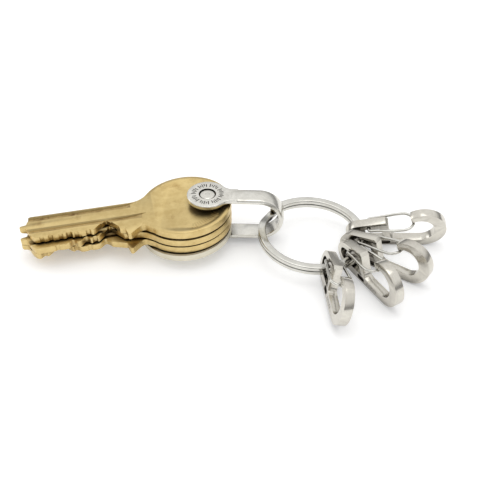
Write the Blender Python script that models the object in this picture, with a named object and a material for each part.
"""Key organiser: a steel shackle that holds a stack of keys on a screw pin, with a split
ring through its bend and four small wire-gate clips on the ring.

Units are metres, +Z is up and the floor is z = 0.  The origin is the middle of the
footprint, on the floor.  Inside the organiser's own empty, the pin's axis is x = y = 0.
The shackle lies on its side: its two arms are level, one over the other, and run from
the pin along +X to the bend.  The keys point along -X and droop until the lowest one
touches the floor.  The ring rests in the bend and slopes down to the clips, which stand
on their spines and fan out from +X towards -Y.
"""
import math

import bmesh
import bpy
from mathutils import Matrix, Vector

# ---------------------------------------------------------------- driving dimensions
FIT_GAP = 0.0003           # clearance between neighbouring pieces
OVERCUT = 0.0010           # how far a cutter runs past the surface that it cuts

# Shackle: a flat strip bent to a U, with a round eye at the end of each arm
SHACKLE_HEIGHT = 0.0141    # outside, across both arms
SHACKLE_REACH = 0.0215     # pin axis to the outside of the bend
STRIP_WIDTH = 0.0054
STRIP_THICKNESS = 0.00145
STRIP_CROWN = 0.00028      # how much lower the strip's outer face is near its edges
STRIP_EDGE_SINK = 0.00062  # how much lower it is at the very edge
EYE_RADIUS = 0.00575
EYE_RECESS = 0.00012       # the eyes are a little thinner than the strip
ARM_START = 0.0026         # pin axis to where the strip runs into each eye

# Screw pin: its head lies under the lower eye and its end shows in the upper one
PIN_RADIUS = 0.00213
PIN_HEAD_RADIUS = 0.0040
PIN_HEAD_HEIGHT = 0.0012
PIN_END_RECESS = 0.0001    # the pin's end lies this far below the upper eye's face
COIN_SLOT_WIDTH = 0.0011
COIN_SLOT_DEPTH = 0.0006
CHAMFER = 0.00025

# Keys
KEY_THICKNESS = 0.0021
KEY_DROOP = math.radians(4.27)     # slope of the stack, tips down
BOW_RADIUS = 0.01275
BOW_OFFSET = 0.0061        # pin axis to the middle of the bow
BLADE_SPINE = 0.0044       # centre line to the blade's straight edge
BLADE_EDGE = 0.0051        # centre line to the blade's uncut bitting edge
KEY_REACH = 0.0525         # pin axis to the blade's tip
TIP_LENGTH = 0.0038        # from the blade's full width to its tip
NIB_LENGTH = 0.0018        # the tip ends in a narrow nib
NIB_HALF_WIDTH = 0.0008
NECK_ANGLE = 40.0          # degrees round the bow to where its neck begins
NECK_REACH = 0.0187        # pin axis to the hollow of the neck
NECK_WIDTH = 0.0062        # centre line to the hollow of the neck
SHOULDER_REACH = 0.0223    # pin axis to the shoulder's point
SHOULDER_WIDTH = 0.0094    # centre line to the shoulder's point
SHOULDER_FOOT = (0.0234, 0.0066)
CUT_ROOT = 0.0008          # flat at the bottom of a cut
CUT_SLOPE = 1.25           # rise of a cut's flanks
GROOVE_START = 0.0203      # pin axis to where the grooves begin
GROOVE_WIDTH = 0.0011
GROOVE_DEPTH = 0.00045

# Fourth key: the same bow on a narrower and shorter blade
SLIM_BLADE_EDGE = 0.0026
SLIM_REACH = 0.0462
SLIM_BOW_SHIFT = 0.0014    # the bow's middle lies to one side of the blade

# Split ring: a flat coil of two turns
RING_RADIUS = 0.0152
RING_WIDTH = 0.0021        # radial size of the wire
RING_HEIGHT = 0.0026       # axial size of both turns together
RING_LEAF_GAP = 0.0002     # gap between the two turns
RING_PAST_BEND_CENTRE = 0.0015      # bend's centre to the wire's centre line, along +X
RING_RIDE = 0.0032                  # lower arm's inner face to the wire's middle there
RING_SIDE = 0.0042                  # how far the ring's centre lies towards -Y
RING_SLOPE = math.radians(4.0)      # down towards +X
RING_ROLL = math.radians(1.1)       # down towards -Y
RING_START = math.radians(180.0)    # where the lower turn's end lies
RING_STEP = math.radians(28.0)      # length of the step between the two turns
RING_END_GAP = math.radians(4.0)    # from the step to each turn's end

# Clips: a plate with a closed eye at one end and a hook at the other
CLIP_LENGTH = 0.0280
CLIP_THICKNESS = 0.0025
HOOK_RADIUS = 0.0064
HOOK_OPENING_RADIUS = 0.0041
HOOK_WALL = 0.0032         # thickness of the hook at the clip's far end
SPINE_HEIGHT = 0.0022
EYE_END_RADIUS = 0.0040
EYE_HOLE_RADIUS = 0.0020
EYE_WALL = 0.0015          # thickness of the eye at the clip's near end
NOSE = (0.0108, 0.0095)    # upper arm's end: along the spine, and above the floor face
NOSE_BEVEL = 0.0008
ARM_THICKNESS = 0.0021
CROSSBAR_FOOT = 0.0133     # where the crossbar's outer face meets the spine
CROSSBAR_THICKNESS = 0.0015
HOOK_TIP = 0.0176          # where the hook ends, along the spine
HOOK_TIP_SLANT = 0.0006    # the hook's end face slopes by this much
CROSSBAR_FILLET = 0.0010   # size of the slanted corner at the crossbar's foot
EDGE_BEVEL = 0.00022
RECESS_RADIUS = 0.0009
RECESS_LENGTH = 0.0030
RECESS_DEPTH = 0.00025
RECESS_START = 0.0095

# Wire gates
WIRE_RADIUS = 0.0004
GATE_PIVOT = (0.0062, 0.0073)       # along the spine, and above the floor face
PIVOT_CLEARANCE = 0.0002
PIVOT_DEPTH = 0.0009       # how deep each end of the wire sits in the plate
GATE_BULGE = 0.0030        # plate's middle to each leg's centre line at the loop
GATE_CORNER = 0.0007       # bend radius of the wire at its ends
GATE_LEG_SLACK = 0.00035    # the legs stand this much further out than they need to
GATE_FLARE = 1.1           # above 1, the legs reach full width before the loop
GATE_CATCH = math.radians(125)      # where the loop's end meets the hook's inner face

# Where each clip hangs: angle round the ring, heading, rise and lean in degrees, then the
# wire's middle in the clip's eye, along the spine and above the plate's lower edge
CLIP_PLACES = (
    (11.8, 1.0, 1.0, 11.4, 0.0043, 0.00420),
    (-14.0, -33.2, 0.8, 0.6, 0.0062, 0.00407),
    (-35.5, -58.3, 2.5, 3.2, 0.0060, 0.00405),
    (-70.0, -81.6, 2.2, -14.2, 0.0056, 0.00421),
)

# Keys from the top of the stack: name, heading from +X in degrees, then (reach, depth) of
# each bitting cut.  The second key has no shoulder.
BRASS_KEYS = (
    ("key_1", 190.4, True, ((0.0286, 0.0036), (0.0336, 0.0005), (0.0388, 0.0007), (0.0440, 0.0003))),
    ("key_2", 192.8, False, ((0.0279, 0.0044), (0.0344, 0.0018), (0.0382, 0.0011), (0.0425, 0.0002))),
    ("key_3", 192.0, True, ((0.0292, 0.0016), (0.0375, 0.0011), (0.0418, 0.0043), (0.0462, 0.0009))),
)
SLIM_KEY = ("key_4", 185.9, False, ((0.0290, 0.0012), (0.0330, 0.0018), (0.0366, 0.0009), (0.0398, 0.0012)))

ROUND_SEGMENTS = 48
BEND_SEGMENTS = 16
RING_SEGMENTS_PER_TURN = 48

# ---------------------------------------------------------------- sizes that follow
BEND_RADIUS = SHACKLE_HEIGHT / 2
BEND_CENTRE = SHACKLE_REACH - BEND_RADIUS
SHACKLE_BASE = PIN_HEAD_HEIGHT + FIT_GAP           # floor to the lower arm
KEY_PITCH = KEY_THICKNESS + FIT_GAP
KEY_BORE_RADIUS = PIN_RADIUS + FIT_GAP + KEY_THICKNESS * math.tan(KEY_DROOP)
LOWER_INNER_FACE = SHACKLE_BASE + STRIP_THICKNESS
STACK_BASE = LOWER_INNER_FACE + FIT_GAP + EYE_RADIUS * math.sin(KEY_DROOP)
HOOK_CENTRE = (CLIP_LENGTH - HOOK_RADIUS, HOOK_RADIUS)
HOOK_OPENING_CENTRE = (CLIP_LENGTH - HOOK_WALL - HOOK_OPENING_RADIUS,
                       SPINE_HEIGHT + HOOK_OPENING_RADIUS)
LEG_OFFSET = CLIP_THICKNESS / 2 + FIT_GAP + WIRE_RADIUS
RING_WIRE_RADIUS = RING_RADIUS - RING_WIDTH / 2    # ring's centre to the wire's middle
RING_CROSSING = Vector((BEND_CENTRE + RING_PAST_BEND_CENTRE, 0, LOWER_INNER_FACE + RING_RIDE))
RING_REACH = math.sqrt(RING_WIRE_RADIUS ** 2 - RING_SIDE ** 2)
RING_CENTRE = RING_CROSSING + Vector((RING_REACH, -RING_SIDE, -RING_REACH * math.tan(RING_SLOPE)))


# ---------------------------------------------------------------- helpers
def clear_scene():
    for thing in list(bpy.data.objects):
        bpy.data.objects.remove(thing, do_unlink=True)


def make_material(name, colour, roughness):
    material = bpy.data.materials.new(name)
    material.use_nodes = True
    shader = material.node_tree.nodes["Principled BSDF"]
    shader.inputs["Base Color"].default_value = (*colour, 1.0)
    shader.inputs["Metallic"].default_value = 1.0
    shader.inputs["Roughness"].default_value = roughness
    return material


def add_empty(name, matrix, parent=None):
    """An empty that marks a joint's axis, placed in world space."""
    empty = bpy.data.objects.new(name, None)
    bpy.context.scene.collection.objects.link(empty)
    empty.empty_display_size = 0.005
    empty.parent = parent
    empty.matrix_world = matrix
    bpy.context.view_layer.update()
    return empty


def add_object(name, data, material, parent=None, local=None):
    """Link an object under its joint's empty, at a place in that empty's own frame."""
    thing = bpy.data.objects.new(name, data)
    bpy.context.scene.collection.objects.link(thing)
    thing.parent = parent
    thing.matrix_basis = local or Matrix()
    if material:
        data.materials.append(material)
    return thing


def finish_mesh(bm, name):
    bmesh.ops.recalc_face_normals(bm, faces=bm.faces)
    mesh = bpy.data.meshes.new(name)
    bm.to_mesh(mesh)
    bm.free()
    mesh.shade_smooth()
    mesh.set_sharp_from_angle(angle=math.radians(35))
    return mesh


def arc(centre, radius, start_deg, end_deg, steps):
    """Points along an arc, both ends included."""
    points = []
    for i in range(steps + 1):
        angle = math.radians(start_deg + (end_deg - start_deg) * i / steps)
        points.append((centre[0] + radius * math.cos(angle),
                       centre[1] + radius * math.sin(angle)))
    return points


def plate_mesh(name, outline, bottom, top):
    """A flat plate: an outline in XY, extruded from bottom to top."""
    bm = bmesh.new()
    corners = [bm.verts.new((x, y, bottom)) for x, y in outline]
    face = bm.faces.new(corners)
    raised = bmesh.ops.extrude_face_region(bm, geom=[face])["geom"]
    lifted = [v for v in raised if isinstance(v, bmesh.types.BMVert)]
    bmesh.ops.translate(bm, verts=lifted, vec=(0, 0, top - bottom))
    return finish_mesh(bm, name)


def turned_mesh(name, profile, segments=ROUND_SEGMENTS):
    """A solid of revolution about Z from (radius, z) points, closed at both ends."""
    bm = bmesh.new()
    rings = []
    for radius, z in profile:
        rings.append([bm.verts.new((x, y, z)) for x, y in arc((0, 0), radius, 0, 360, segments)[:-1]])
    for lower, upper in zip(rings, rings[1:]):
        for i in range(segments):
            j = (i + 1) % segments
            bm.faces.new((lower[i], lower[j], upper[j], upper[i]))
    bm.faces.new(rings[0])
    bm.faces.new(rings[-1])
    return finish_mesh(bm, name)


def loft_mesh(name, sections):
    """Join rings of points, each with the same count, and close both ends."""
    bm = bmesh.new()
    rings = [[bm.verts.new(point) for point in section] for section in sections]
    count = len(rings[0])
    for first, second in zip(rings, rings[1:]):
        for i in range(count):
            j = (i + 1) % count
            bm.faces.new((first[i], first[j], second[j], second[i]))
    bm.faces.new(rings[0])
    bm.faces.new(rings[-1])
    return finish_mesh(bm, name)


def add_cutter(name, mesh, parent, local=None):
    cutter = add_object(name, mesh, None, parent, local)
    cutter.hide_render = True
    cutter.display_type = "WIRE"
    return cutter


def boolean(target, tool, operation):
    modifier = target.modifiers.new(tool.name, "BOOLEAN")
    modifier.operation = operation
    modifier.solver = "EXACT"
    modifier.object = tool


def bevel_edges(target, width):
    modifier = target.modifiers.new("edge_bevel", "BEVEL")
    modifier.width = width
    modifier.segments = 1
    modifier.limit_method = "ANGLE"
    modifier.angle_limit = math.radians(50)


# ---------------------------------------------------------------- shackle and pin
def strip_section(place, inward):
    """The strip's section: flat inside, crowned outside.  inward points into the U."""
    half = STRIP_WIDTH / 2
    section = [place + Vector((0, side, 0)) + inward * STRIP_THICKNESS for side in (-half, half)]
    for fraction in (1.0, 0.85, 0.45, 0.0, -0.45, -0.85, -1.0):
        sink = STRIP_EDGE_SINK if abs(fraction) == 1.0 else STRIP_CROWN * fraction ** 2
        section.append(place + Vector((0, fraction * half, 0)) + inward * sink)
    return section


def make_shackle(steel, frame):
    """The U strip from eye to eye, joined to two round eyes, with the pin's bores."""
    start = ARM_START
    sections = [strip_section(Vector((start, 0, 0)), Vector((0, 0, 1)))]
    for i in range(BEND_SEGMENTS + 1):
        angle = -math.pi / 2 + math.pi * i / BEND_SEGMENTS
        outward = Vector((math.cos(angle), 0, math.sin(angle)))
        middle = Vector((BEND_CENTRE, 0, BEND_RADIUS))
        sections.append(strip_section(middle + outward * BEND_RADIUS, -outward))
    sections.append(strip_section(Vector((start, 0, SHACKLE_HEIGHT)), Vector((0, 0, -1))))
    shackle = add_object("shackle_body", loft_mesh("shackle_body", sections), steel, frame)

    eye_thickness = STRIP_THICKNESS - EYE_RECESS
    eye_profile = (
        (EYE_RADIUS - CHAMFER, 0.0),
        (EYE_RADIUS, CHAMFER),
        (EYE_RADIUS, eye_thickness - CHAMFER),
        (EYE_RADIUS - CHAMFER, eye_thickness),
    )
    eye_mesh = turned_mesh("shackle_eye", eye_profile)
    lower_eye = add_cutter("lower_eye_blank", eye_mesh, frame, Matrix.Translation((0, 0, EYE_RECESS)))
    upper_place = Matrix.Translation((0, 0, SHACKLE_HEIGHT - STRIP_THICKNESS))
    upper_eye = add_cutter("upper_eye_blank", eye_mesh, frame, upper_place)
    boolean(shackle, lower_eye, "UNION")
    boolean(shackle, upper_eye, "UNION")

    bore = turned_mesh("pin_bore", (
        (PIN_RADIUS + FIT_GAP, -OVERCUT),
        (PIN_RADIUS + FIT_GAP, SHACKLE_HEIGHT + OVERCUT),
    ))
    boolean(shackle, add_cutter("pin_bore_cutter", bore, frame), "DIFFERENCE")
    return shackle


def make_pin(steel, frame):
    """Screw pin: head under the lower eye, shank up to the upper eye's outer face."""
    head_top = -FIT_GAP
    head_bottom = head_top - PIN_HEAD_HEIGHT
    end = SHACKLE_HEIGHT - EYE_RECESS - PIN_END_RECESS
    profile = (
        (PIN_HEAD_RADIUS - CHAMFER, head_bottom),
        (PIN_HEAD_RADIUS, head_bottom + CHAMFER),
        (PIN_HEAD_RADIUS, head_top),
        (PIN_RADIUS, head_top),
        (PIN_RADIUS, end - CHAMFER),
        (PIN_RADIUS - CHAMFER, end),
    )
    pin = add_object("screw_pin", turned_mesh("screw_pin", profile), steel, frame)
    slot_half = COIN_SLOT_WIDTH / 2
    slot_end = PIN_HEAD_RADIUS + OVERCUT
    slot_outline = [
        (-slot_end, -slot_half), (slot_end, -slot_half),
        (slot_end, slot_half), (-slot_end, slot_half),
    ]
    slot = plate_mesh("coin_slot", slot_outline, head_bottom - OVERCUT, head_bottom + COIN_SLOT_DEPTH)
    boolean(pin, add_cutter("coin_slot_cutter", slot, frame), "DIFFERENCE")
    return pin


# ---------------------------------------------------------------- keys
def bitting_edge(cuts, uncut):
    """The blade's cut edge from shoulder to tip: a flat root and two flanks for each cut."""
    half = CUT_ROOT / 2
    first_reach, first_depth = cuts[0]
    points = [(first_reach - half - first_depth / CUT_SLOPE, uncut)]
    for i, (reach, depth) in enumerate(cuts):
        points.append((reach - half, uncut - depth))
        points.append((reach + half, uncut - depth))
        if i + 1 == len(cuts):
            points.append((reach + half + depth / CUT_SLOPE, uncut))
            continue
        next_reach, next_depth = cuts[i + 1]
        span = next_reach - reach - CUT_ROOT
        if (depth + next_depth) / CUT_SLOPE < span:
            points.append((reach + half + depth / CUT_SLOPE, uncut))
            points.append((next_reach - half - next_depth / CUT_SLOPE, uncut))
        else:
            climb = (depth - next_depth + span * CUT_SLOPE) / 2
            points.append((reach + half + climb / CUT_SLOPE, uncut - depth + climb))
    return points


def key_outline(cuts, bow_centre, edge, reach, shoulder, slim):
    """The key from above: its tip along +X, and its bitting on the +Y side."""
    spine_angle = math.degrees(math.asin((-BLADE_SPINE - bow_centre[1]) / BOW_RADIUS))
    edge_angle = NECK_ANGLE
    if slim:
        edge_angle = math.degrees(math.asin((edge - bow_centre[1]) / BOW_RADIUS))
    outline = arc(bow_centre, BOW_RADIUS, edge_angle, 360 + spine_angle, 44)
    outline.append((reach - TIP_LENGTH, -BLADE_SPINE))
    outline.append((reach - NIB_LENGTH, -2 * NIB_HALF_WIDTH))
    outline.append((reach, -NIB_HALF_WIDTH))
    outline.append((reach, NIB_HALF_WIDTH))
    outline.append((reach - NIB_LENGTH, 1.5 * NIB_HALF_WIDTH))
    outline.append((reach - TIP_LENGTH, edge))
    outline.extend(reversed(bitting_edge(cuts, edge)))
    if shoulder:
        outline.append(SHOULDER_FOOT)
        outline.append((SHOULDER_REACH, SHOULDER_WIDTH))
    if not slim:
        outline.append((NECK_REACH, NECK_WIDTH))
    return outline


def groove_outline(middle, start, end):
    half = GROOVE_WIDTH / 2
    return [(start, middle - half), (end, middle - half), (end, middle + half), (start, middle + half)]


def make_key(facts, metal, parent, level, slim=False):
    """One key on the pin.  level counts from the lowest key of the stack."""
    name, heading, shoulder, cuts = facts
    height = STACK_BASE + level * KEY_PITCH / math.cos(KEY_DROOP)
    droop = Matrix.Rotation(-KEY_DROOP, 4, "Y")
    axis = add_empty(name + "_axis", Matrix.Translation((0, 0, height)) @ droop, parent)
    bow_shift = SLIM_BOW_SHIFT if slim else 0.0
    edge = SLIM_BLADE_EDGE if slim else BLADE_EDGE
    reach = SLIM_REACH if slim else KEY_REACH
    outline = key_outline(cuts, (BOW_OFFSET, bow_shift), edge, reach, shoulder, slim)
    mesh = plate_mesh(name, outline, 0.0, KEY_THICKNESS)
    place = Matrix.Rotation(math.radians(heading), 4, "Z")
    key = add_object(name, mesh, metal, axis, place)
    bevel_edges(key, EDGE_BEVEL)
    bore = turned_mesh(name + "_bore", (
        (KEY_BORE_RADIUS, -OVERCUT),
        (KEY_BORE_RADIUS, KEY_THICKNESS + OVERCUT),
    ))
    boolean(key, add_cutter(name + "_bore_cutter", bore, axis, place), "DIFFERENCE")
    top = (KEY_THICKNESS - GROOVE_DEPTH, KEY_THICKNESS + OVERCUT)
    bottom = (-OVERCUT, GROOVE_DEPTH)
    # The upper groove lies on the bitting's side of the centre line, the lower one on the spine's.
    for side, middle, (low, high) in (("upper", edge / 4, top), ("lower", -BLADE_SPINE / 3, bottom)):
        outline = groove_outline(middle, GROOVE_START, reach + OVERCUT)
        groove = plate_mesh(f"{name}_groove", outline, low, high)
        boolean(key, add_cutter(f"{name}_{side}_groove", groove, axis, place), "DIFFERENCE")
    return key


# ---------------------------------------------------------------- split ring
def smooth_step(fraction):
    fraction = min(max(fraction, 0.0), 1.0)
    return fraction * fraction * (3 - 2 * fraction)


def ring_frame():
    """The ring's own frame: its centre, sloping down to the clips."""
    slope = Matrix.Rotation(RING_SLOPE, 4, "Y")
    roll = Matrix.Rotation(RING_ROLL, 4, "X")
    return Matrix.Translation(RING_CENTRE) @ slope @ roll


def make_ring(steel, axis):
    """Two flat turns of wire: the lower turn steps up once, just before its own start."""
    leaf = (RING_HEIGHT - RING_LEAF_GAP) / 2
    turn = 2 * math.pi
    step_start = turn - RING_STEP - RING_END_GAP
    end = step_start + turn - RING_END_GAP
    count = int(RING_SEGMENTS_PER_TURN * end / turn)
    sections = []
    for i in range(count + 1):
        travel = end * i / count
        lift = (leaf + RING_LEAF_GAP) * smooth_step((travel - step_start) / RING_STEP)
        angle = RING_START + travel
        outward = Vector((math.cos(angle), math.sin(angle), 0))
        middle = outward * (RING_RADIUS - RING_WIDTH / 2)
        middle.z = -RING_HEIGHT / 2 + leaf / 2 + lift
        section = []
        trim = CHAMFER
        for side, level in ((-1, -1), (1, -1), (1, 1), (-1, 1)):
            near = middle + outward * side * (RING_WIDTH / 2 - trim) + Vector((0, 0, level * leaf / 2))
            far = middle + outward * side * RING_WIDTH / 2 + Vector((0, 0, level * (leaf / 2 - trim)))
            section.extend((far, near) if side * level > 0 else (near, far))
        sections.append(section)
    mesh = loft_mesh("split_ring", sections)
    return add_object("split_ring", mesh, steel, axis, axis.matrix_world.inverted() @ ring_frame())


# ---------------------------------------------------------------- clips
def clip_outline():
    """The clip from its side: spine along +X at the bottom, the hook at the far end."""
    eye_centre = (EYE_END_RADIUS, EYE_END_RADIUS)
    rise = math.degrees(math.atan2(NOSE[1] - 2 * EYE_END_RADIUS, NOSE[0] - EYE_END_RADIUS))
    opening_x, opening_z = HOOK_OPENING_CENTRE
    tip_outside = math.degrees(math.acos((HOOK_TIP - HOOK_CENTRE[0]) / HOOK_RADIUS))
    tip_inside = math.degrees(math.acos((HOOK_TIP + HOOK_TIP_SLANT - opening_x) / HOOK_OPENING_RADIUS))
    outline = arc(eye_centre, EYE_END_RADIUS, 270, 90 + rise, 12)
    outline.append(NOSE)
    outline.append((NOSE[0] + NOSE_BEVEL, NOSE[1] - NOSE_BEVEL))
    outline.append((CROSSBAR_FOOT - CROSSBAR_FILLET / 2, SPINE_HEIGHT + CROSSBAR_FILLET))
    outline.append((CROSSBAR_FOOT + CROSSBAR_FILLET / 2, SPINE_HEIGHT))
    outline.extend(arc((opening_x, opening_z), HOOK_OPENING_RADIUS, -90, tip_inside, 20))
    outline.extend(arc(HOOK_CENTRE, HOOK_RADIUS, tip_outside, -90, 26))
    return outline


def eye_hole_outline():
    """The D-shaped hole that the ring passes through, between spine, arm and crossbar."""
    centre = (EYE_WALL + EYE_HOLE_RADIUS, SPINE_HEIGHT + EYE_HOLE_RADIUS)
    slope = (NOSE[1] - 2 * EYE_END_RADIUS) / (NOSE[0] - EYE_END_RADIUS)
    lean = (CROSSBAR_FOOT - NOSE[0]) / (NOSE[1] - SPINE_HEIGHT)
    top_x = NOSE[0] - CROSSBAR_THICKNESS
    top_z = NOSE[1] - ARM_THICKNESS - slope * CROSSBAR_THICKNESS
    foot_x = top_x + lean * (top_z - SPINE_HEIGHT) + lean * ARM_THICKNESS
    rise = math.degrees(math.atan(slope))
    return arc(centre, EYE_HOLE_RADIUS, 90 + rise, 270, 10) + [(foot_x, SPINE_HEIGHT), (top_x, top_z)]


def recess_outline():
    """A shallow slot with round ends on the spine's side face."""
    radius = RECESS_RADIUS
    middle = SPINE_HEIGHT / 2
    left = arc((RECESS_START + radius, middle), radius, 90, 270, 8)
    right = arc((RECESS_START + RECESS_LENGTH - radius, middle), radius, -90, 90, 8)
    return left + right


def fillet(before, corner, after, radius, steps=4):
    """Points of a circular fillet between two straight runs that meet at a right angle."""
    towards_start = (before - corner).normalized()
    towards_end = (after - corner).normalized()
    centre = corner + (towards_start + towards_end) * radius
    points = []
    for i in range(steps + 1):
        angle = math.pi / 2 * i / steps
        start_side = towards_end * math.cos(angle)
        end_side = towards_start * math.sin(angle)
        points.append(centre - (start_side + end_side) * radius)
    return points


def gate_points():
    """The wire's centre line: in at one pivot hole, round the loop and in at the other.

    X runs along the gate from its pivot, and Z runs across the plate from its middle.
    """
    pivot_x, pivot_y = GATE_PIVOT
    catch_x = HOOK_OPENING_CENTRE[0] - pivot_x
    catch_y = HOOK_OPENING_CENTRE[1] - pivot_y
    reach_under_tip = HOOK_OPENING_RADIUS - WIRE_RADIUS - FIT_GAP
    end_x = catch_x + reach_under_tip * math.cos(GATE_CATCH)
    end_y = catch_y + reach_under_tip * math.sin(GATE_CATCH)
    length = math.hypot(end_x, end_y)
    slope = math.atan2(end_y, end_x)

    stub = Vector((0, 0, -(CLIP_THICKNESS / 2 - PIVOT_DEPTH)))
    corner = Vector((0, 0, -LEG_OFFSET - GATE_LEG_SLACK))
    shoulder = Vector((length - 2 * GATE_BULGE, 0, corner.z))
    half = [stub] + fillet(stub, corner, shoulder, GATE_CORNER)
    loop_centre = length - GATE_BULGE
    leg_start = half[-1]
    for i in range(1, 6):
        fraction = i / 6
        x = leg_start.x + (loop_centre - leg_start.x) * fraction
        spread = smooth_step(fraction * GATE_FLARE)
        half.append(Vector((x, 0, leg_start.z + (-GATE_BULGE - leg_start.z) * spread)))
    for x, z in arc((loop_centre, 0), GATE_BULGE, -90, 0, 8)[:-1]:
        half.append(Vector((x, 0, z)))
    tip = Vector((length, 0, 0))
    other = [Vector((p.x, 0, -p.z)) for p in reversed(half)]
    return half + [tip] + other, slope


def gate_curve(name, points):
    curve = bpy.data.curves.new(name, "CURVE")
    curve.dimensions = "3D"
    curve.bevel_depth = WIRE_RADIUS
    curve.bevel_resolution = 2
    curve.use_fill_caps = True
    curve.render_resolution_u = 0
    spline = curve.splines.new("POLY")
    spline.points.add(len(points) - 1)
    for slot, point in zip(spline.points, points):
        slot.co = (*point, 1.0)
    return curve


def clip_matrix(place):
    """Clip frame on the ring's wire: X along the spine, Y up the plate, Z out of its face."""
    angle, heading, rise, lean = place[:4]
    around = math.radians(angle)
    on_wire = Vector((math.cos(around), math.sin(around), 0)) * RING_WIRE_RADIUS
    turn = Matrix.Rotation(math.radians(heading), 4, "Z")
    pitch = Matrix.Rotation(math.radians(-rise), 4, "Y")
    roll = Matrix.Rotation(math.radians(lean), 4, "X")
    stand = Matrix.Rotation(math.radians(90), 4, "X")
    return Matrix.Translation(ring_frame() @ on_wire) @ turn @ pitch @ roll @ stand


def make_clip(number, steel, ring_axis):
    place = CLIP_PLACES[number - 1]
    name = f"clip_{number}"
    frame = clip_matrix(place)
    wire_x, wire_y = place[4:]
    swing = add_empty(name + "_swing_axis", frame, ring_axis)
    local = Matrix.Translation((-wire_x, -wire_y, -CLIP_THICKNESS / 2))
    body_mesh = plate_mesh(name + "_body", clip_outline(), 0.0, CLIP_THICKNESS)
    body = add_object(name + "_body", body_mesh, steel, swing, local)
    bevel_edges(body, EDGE_BEVEL)
    hole = plate_mesh(name + "_eye", eye_hole_outline(), -OVERCUT, CLIP_THICKNESS + OVERCUT)
    boolean(body, add_cutter(name + "_eye_cutter", hole, swing, local), "DIFFERENCE")
    bore = turned_mesh(name + "_pivot", (
        (WIRE_RADIUS + PIVOT_CLEARANCE, -OVERCUT),
        (WIRE_RADIUS + PIVOT_CLEARANCE, CLIP_THICKNESS + OVERCUT),
    ), 12)
    pivot_place = Matrix.Translation((*GATE_PIVOT, 0))
    boolean(body, add_cutter(name + "_pivot_cutter", bore, swing, local @ pivot_place), "DIFFERENCE")
    recess_range = (CLIP_THICKNESS - RECESS_DEPTH, CLIP_THICKNESS + OVERCUT)
    recess = plate_mesh(name + "_recess", recess_outline(), *recess_range)
    boolean(body, add_cutter(name + "_recess_cutter", recess, swing, local), "DIFFERENCE")

    points, slope = gate_points()
    pivot = frame @ local @ Matrix.Translation((*GATE_PIVOT, CLIP_THICKNESS / 2))
    gate_axis = add_empty(name + "_gate_axis", pivot, swing)
    gate_turn = Matrix.Rotation(slope, 4, "Z")
    # The gate's points lie in its own XZ plane, and its frame's Z is the pivot's axis.
    add_object(name + "_gate", gate_curve(name + "_gate", points), steel, gate_axis, gate_turn)


# ---------------------------------------------------------------- assembly
def stand_on_origin(organiser):
    """Move the whole organiser so that the middle of its footprint is the origin."""
    depsgraph = bpy.context.evaluated_depsgraph_get()
    corners = []
    for thing in bpy.data.objects:
        if thing.type in {"MESH", "CURVE"} and not thing.hide_render:
            mesh = thing.evaluated_get(depsgraph).to_mesh()
            corners.extend(thing.matrix_world @ vertex.co for vertex in mesh.vertices)
    low = Vector(min(corner[axis] for corner in corners) for axis in range(3))
    high = Vector(max(corner[axis] for corner in corners) for axis in range(3))
    organiser.location = (-(low.x + high.x) / 2, -(low.y + high.y) / 2, -low.z)
    bpy.context.view_layer.update()


def build():
    clear_scene()
    steel = make_material("polished_steel", (0.62, 0.60, 0.56), 0.22)
    wire_steel = make_material("ring_steel", (0.60, 0.59, 0.56), 0.18)
    brass = make_material("worn_brass", (0.60, 0.44, 0.17), 0.34)
    nickel = make_material("nickel_key", (0.60, 0.58, 0.54), 0.26)

    organiser = add_empty("organiser", Matrix())
    shackle_frame = add_empty("shackle_frame", Matrix.Translation((0, 0, SHACKLE_BASE)), organiser)
    make_shackle(steel, shackle_frame)
    make_pin(steel, shackle_frame)

    make_key(SLIM_KEY, nickel, shackle_frame, 0, slim=True)
    for level, facts in enumerate(reversed(BRASS_KEYS), start=1):
        make_key(facts, brass, shackle_frame, level)

    ring_axis = add_empty("ring_swing_axis", Matrix.Translation(RING_CROSSING), shackle_frame)
    make_ring(wire_steel, ring_axis)
    for number in range(1, len(CLIP_PLACES) + 1):
        make_clip(number, steel, ring_axis)
    stand_on_origin(organiser)


build()
